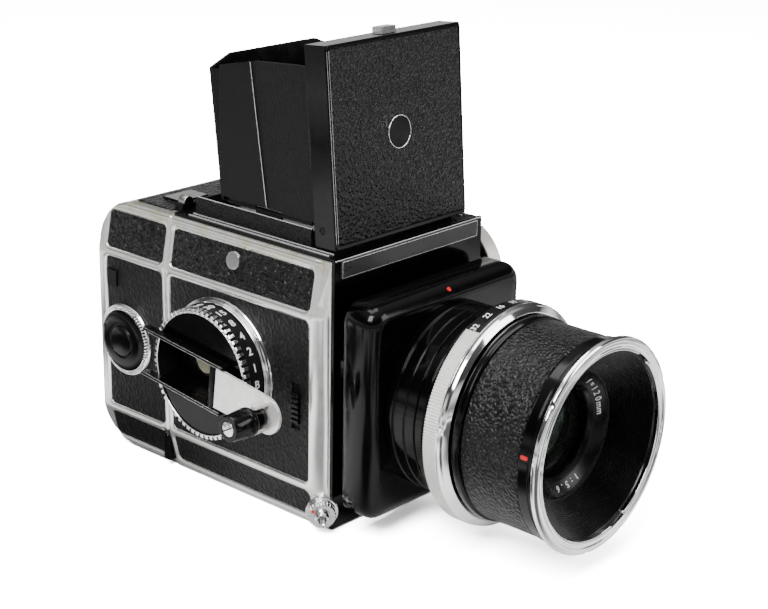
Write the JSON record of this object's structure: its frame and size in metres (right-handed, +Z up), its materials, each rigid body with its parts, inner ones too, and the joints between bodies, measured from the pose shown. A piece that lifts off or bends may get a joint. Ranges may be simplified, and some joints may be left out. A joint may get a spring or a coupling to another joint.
{
  "type": "medium format single lens reflex camera",
  "caption": "Medium-format reflex camera: eight-sided silver and leather body, sliding and tilting front standard, lens, open waist-level hood, film magazine and folding crank.",
  "frame": {"origin": "on the base plane, under the lens axis, at the front edge of the side frames", "axes": "+X across the camera to the focusing-knob side, -Y the way the lens looks, +Z up"},
  "size_m": [0.1333, 0.2113, 0.1772],
  "materials": {
    "silver_frame": "satin",
    "leather_black": "pebbled",
    "gloss_black": "gloss",
    "satin_black": "satin",
    "name_grey": "satin",
    "chrome_bright": "polished",
    "steel": "brushed",
    "knurled_metal": "satin",
    "mirror_glass": "polished",
    "clear_glass": "clear",
    "black_cloth": "matte",
    "black_plastic": "gloss"
  },
  "bodies": {
    "body": {"body_casting": "silver_frame", "side_leather_left": "leather_black", "side_leather_right": "leather_black", "front_plate": "gloss_black", "name_plate": "name_grey", "top_plate": "satin_black", "tripod_bush": "steel", "strap_studs": "chrome_bright", "mirror_box": "satin_black", "focusing_screen": "clear_glass", "shutter_curtain": "black_cloth", "bellows": "black_cloth", "dial_outer_ring": "chrome_bright", "release_collar": "chrome_bright", "hood_base": "satin_black", "hood_pins": "steel"},
    "mirror": {"reflex_mirror": "mirror_glass"},
    "roller_top": {"curtain_roller_top": "steel"},
    "roller_bottom": {"curtain_roller_bottom": "steel"},
    "carriage": {"focusing_rails": "steel"},
    "focus_knob": {"focusing_knob": "knurled_metal"},
    "standard": {"standard_housing": "gloss_black"},
    "lens": {"lens_rear_tube": "gloss_black", "lens_core": "satin_black", "lens_barrel": "gloss_black", "barrel_leather": "leather_black", "front_bayonet_ring": "chrome_bright", "baffle_cone": "satin_black", "letter_ring": "satin_black", "front_glass": "clear_glass", "rear_glass": "clear_glass"},
    "aperture": {"aperture_ring": "knurled_metal"},
    "blade_1": {"iris_blade_1": "satin_black"},
    "blade_2": {"iris_blade_2": "satin_black"},
    "blade_3": {"iris_blade_3": "satin_black"},
    "blade_4": {"iris_blade_4": "satin_black"},
    "blade_5": {"iris_blade_5": "satin_black"},
    "dial": {"speed_dial": "satin_black"},
    "crank": {"crank_body": "gloss_black"},
    "arm": {"crank_arm": "chrome_bright"},
    "handle": {"crank_handle": "black_plastic"},
    "lock_ring": {"release_lock_ring": "chrome_bright"},
    "release": {"release_button": "chrome_bright"},
    "multi_slide": {"multiple_exposure_slide": "black_plastic"},
    "magazine": {"magazine_shell": "silver_frame", "magazine_leather": "leather_black", "pressure_plate": "steel", "magazine_fittings": "satin_black"},
    "winding_knob": {"film_knob": "black_plastic"},
    "door": {"magazine_door": "leather_black"},
    "sheath": {"dark_slide": "steel"},
    "takeup": {"takeup_spool": "black_plastic"},
    "supply": {"supply_spool": "black_plastic"},
    "catch": {"magazine_catch": "black_plastic"},
    "lid": {"hood_lid": "gloss_black"},
    "leaf_left": {"hood_leaf_left": "satin_black"},
    "leaf_right": {"hood_leaf_right": "satin_black"},
    "rear_panel": {"hood_rear_panel": "satin_black"},
    "magnifier": {"hood_magnifier": "satin_black"},
    "latch": {"hood_latch": "chrome_bright"}
  },
  "joints": [
    {"name": "focus_travel", "type": "slide", "parent": "body", "child": "carriage", "axis": [0, -1, 0], "range_m": [0, 0.05], "deforming": ["bellows"]},
    {"name": "focus_knob_turn", "type": "hinge", "parent": "body", "child": "focus_knob", "pos_m": [0, 0.0215, 0.074], "axis": [-1, 0, 0], "range_deg": [0, 360]},
    {"name": "standard_tilt", "type": "hinge", "parent": "carriage", "child": "standard", "pos_m": [0, -0.013, 0.04783], "axis": [1, 0, 0], "range_deg": [-7, 7]},
    {"name": "lens_bayonet_turn", "type": "hinge", "parent": "standard", "child": "lens", "pos_m": [0, -0.03, 0.04783], "axis": [0, -1, 0], "range_deg": [0, 60]},
    {"name": "aperture_turn", "type": "hinge", "parent": "lens", "child": "aperture", "pos_m": [0, -0.048, 0.04783], "axis": [0, -1, 0], "range_deg": [0, 60]},
    {"name": "iris_blade_1_turn", "type": "hinge", "parent": "lens", "child": "blade_1", "pos_m": [0.00489, -0.05, 0.07082], "axis": [0, -1, 0], "range_deg": [0, 22]},
    {"name": "iris_blade_2_turn", "type": "hinge", "parent": "lens", "child": "blade_2", "pos_m": [-0.02035, -0.05, 0.05958], "axis": [0, -1, 0], "range_deg": [0, 22]},
    {"name": "iris_blade_3_turn", "type": "hinge", "parent": "lens", "child": "blade_3", "pos_m": [-0.01746, -0.05, 0.03211], "axis": [0, -1, 0], "range_deg": [0, 22]},
    {"name": "iris_blade_4_turn", "type": "hinge", "parent": "lens", "child": "blade_4", "pos_m": [0.00956, -0.05, 0.02636], "axis": [0, -1, 0], "range_deg": [0, 22]},
    {"name": "iris_blade_5_turn", "type": "hinge", "parent": "lens", "child": "blade_5", "pos_m": [0.02337, -0.05, 0.05029], "axis": [0, -1, 0], "range_deg": [0, 22]},
    {"name": "mirror_flip", "type": "hinge", "parent": "body", "child": "mirror", "pos_m": [0, 0.068, 0.08], "axis": [-1, 0, 0], "range_deg": [0, 45]},
    {"name": "roller_top_turn", "type": "hinge", "parent": "body", "child": "roller_top", "pos_m": [0, 0.0752, 0.088], "axis": [1, 0, 0], "continuous": true},
    {"name": "roller_bottom_turn", "type": "hinge", "parent": "body", "child": "roller_bottom", "pos_m": [0, 0.0752, 0.009], "axis": [1, 0, 0], "continuous": true},
    {"name": "speed_dial_turn", "type": "hinge", "parent": "body", "child": "dial", "pos_m": [-0.047, 0.0517, 0.0504], "axis": [1, 0, 0], "range_deg": [-60, 240]},
    {"name": "crank_turn", "type": "hinge", "parent": "body", "child": "crank", "pos_m": [-0.047, 0.0517, 0.0504], "axis": [-1, 0, 0], "continuous": true},
    {"name": "crank_arm_fold", "type": "hinge", "parent": "crank", "child": "arm", "pos_m": [-0.0574, 0.04206, 0.0493], "axis": [0, 0.1132, -0.9936], "range_deg": [0, 180]},
    {"name": "crank_handle_fold", "type": "hinge", "parent": "arm", "child": "handle", "pos_m": [-0.0635, 0.01474, 0.04619], "axis": [0, 0.1132, -0.9936], "range_deg": [0, 90]},
    {"name": "release_lock_turn", "type": "hinge", "parent": "body", "child": "lock_ring", "pos_m": [-0.0412, 0.0026, 0.0072], "axis": [-0.7071, -0.7071, 0], "range_deg": [0, 60]},
    {"name": "release_press", "type": "slide", "parent": "body", "child": "release", "axis": [0.7071, 0.7071, 0], "range_m": [0, 0.0025]},
    {"name": "multiple_exposure_shift", "type": "slide", "parent": "body", "child": "multi_slide", "axis": [0, 0, 1], "range_m": [-0.0018, 0.003]},
    {"name": "magazine_travel", "type": "slide", "parent": "body", "child": "magazine", "axis": [0, 1, 0], "range_m": [0, 0.04]},
    {"name": "film_knob_turn", "type": "hinge", "parent": "magazine", "child": "winding_knob", "pos_m": [-0.045, 0.106, 0.047], "axis": [-1, 0, 0], "continuous": true},
    {"name": "takeup_turn", "type": "hinge", "parent": "magazine", "child": "takeup", "pos_m": [0, 0.1025, 0.0195], "axis": [1, 0, 0], "continuous": true},
    {"name": "supply_turn", "type": "hinge", "parent": "magazine", "child": "supply", "pos_m": [0, 0.1025, 0.0815], "axis": [1, 0, 0], "continuous": true},
    {"name": "magazine_door_swing", "type": "hinge", "parent": "magazine", "child": "door", "pos_m": [0, 0.1198, 0.0145], "axis": [-1, 0, 0], "range_deg": [0, 100]},
    {"name": "dark_slide_pull", "type": "slide", "parent": "magazine", "child": "sheath", "axis": [1, 0, 0], "range_m": [0, 0.07]},
    {"name": "magazine_catch_shift", "type": "slide", "parent": "magazine", "child": "catch", "axis": [0, 0, 1], "range_m": [0, 0.003]},
    {"name": "lid_rock", "type": "hinge", "parent": "body", "child": "lid", "pos_m": [0, 0.00915, 0.11015], "axis": [1, 0, 0], "range_deg": [-2, 4.8]},
    {"name": "magnifier_swing", "type": "hinge", "parent": "lid", "child": "magnifier", "pos_m": [0, 0.01101, 0.16352], "axis": [1, 0, 0], "range_deg": [0, 90]},
    {"name": "hood_latch_slide", "type": "slide", "parent": "lid", "child": "latch", "axis": [1, 0, 0], "range_m": [0, 0.003]},
    {"name": "left_leaf_fold", "type": "hinge", "parent": "body", "child": "leaf_left", "pos_m": [-0.0331, 0.038, 0.1108], "axis": [0, 1, 0], "range_deg": [0, 90]},
    {"name": "right_leaf_fold", "type": "hinge", "parent": "body", "child": "leaf_right", "pos_m": [0.0331, 0.038, 0.1092], "axis": [0, -1, 0], "range_deg": [0, 90]},
    {"name": "rear_panel_fold", "type": "hinge", "parent": "body", "child": "rear_panel", "pos_m": [0, 0.0626, 0.1072], "axis": [1, 0, 0], "range_deg": [0, 96.7]}
  ],
  "couplings": [
    {"joint": "focus_knob_turn", "follows": "focus_travel", "rad_per_m": 125},
    {"joint": "iris_blade_1_turn", "follows": "aperture_turn", "ratio": 0.36667},
    {"joint": "iris_blade_2_turn", "follows": "aperture_turn", "ratio": 0.36667},
    {"joint": "iris_blade_3_turn", "follows": "aperture_turn", "ratio": 0.36667},
    {"joint": "iris_blade_4_turn", "follows": "aperture_turn", "ratio": 0.36667},
    {"joint": "iris_blade_5_turn", "follows": "aperture_turn", "ratio": 0.36667},
    {"joint": "crank_handle_fold", "follows": "crank_arm_fold", "ratio": 0.5},
    {"joint": "roller_top_turn", "follows": "crank_turn", "ratio": -1},
    {"joint": "roller_bottom_turn", "follows": "crank_turn", "ratio": -1},
    {"joint": "takeup_turn", "follows": "film_knob_turn", "ratio": -1},
    {"joint": "supply_turn", "follows": "film_knob_turn", "ratio": -1}
  ]
}
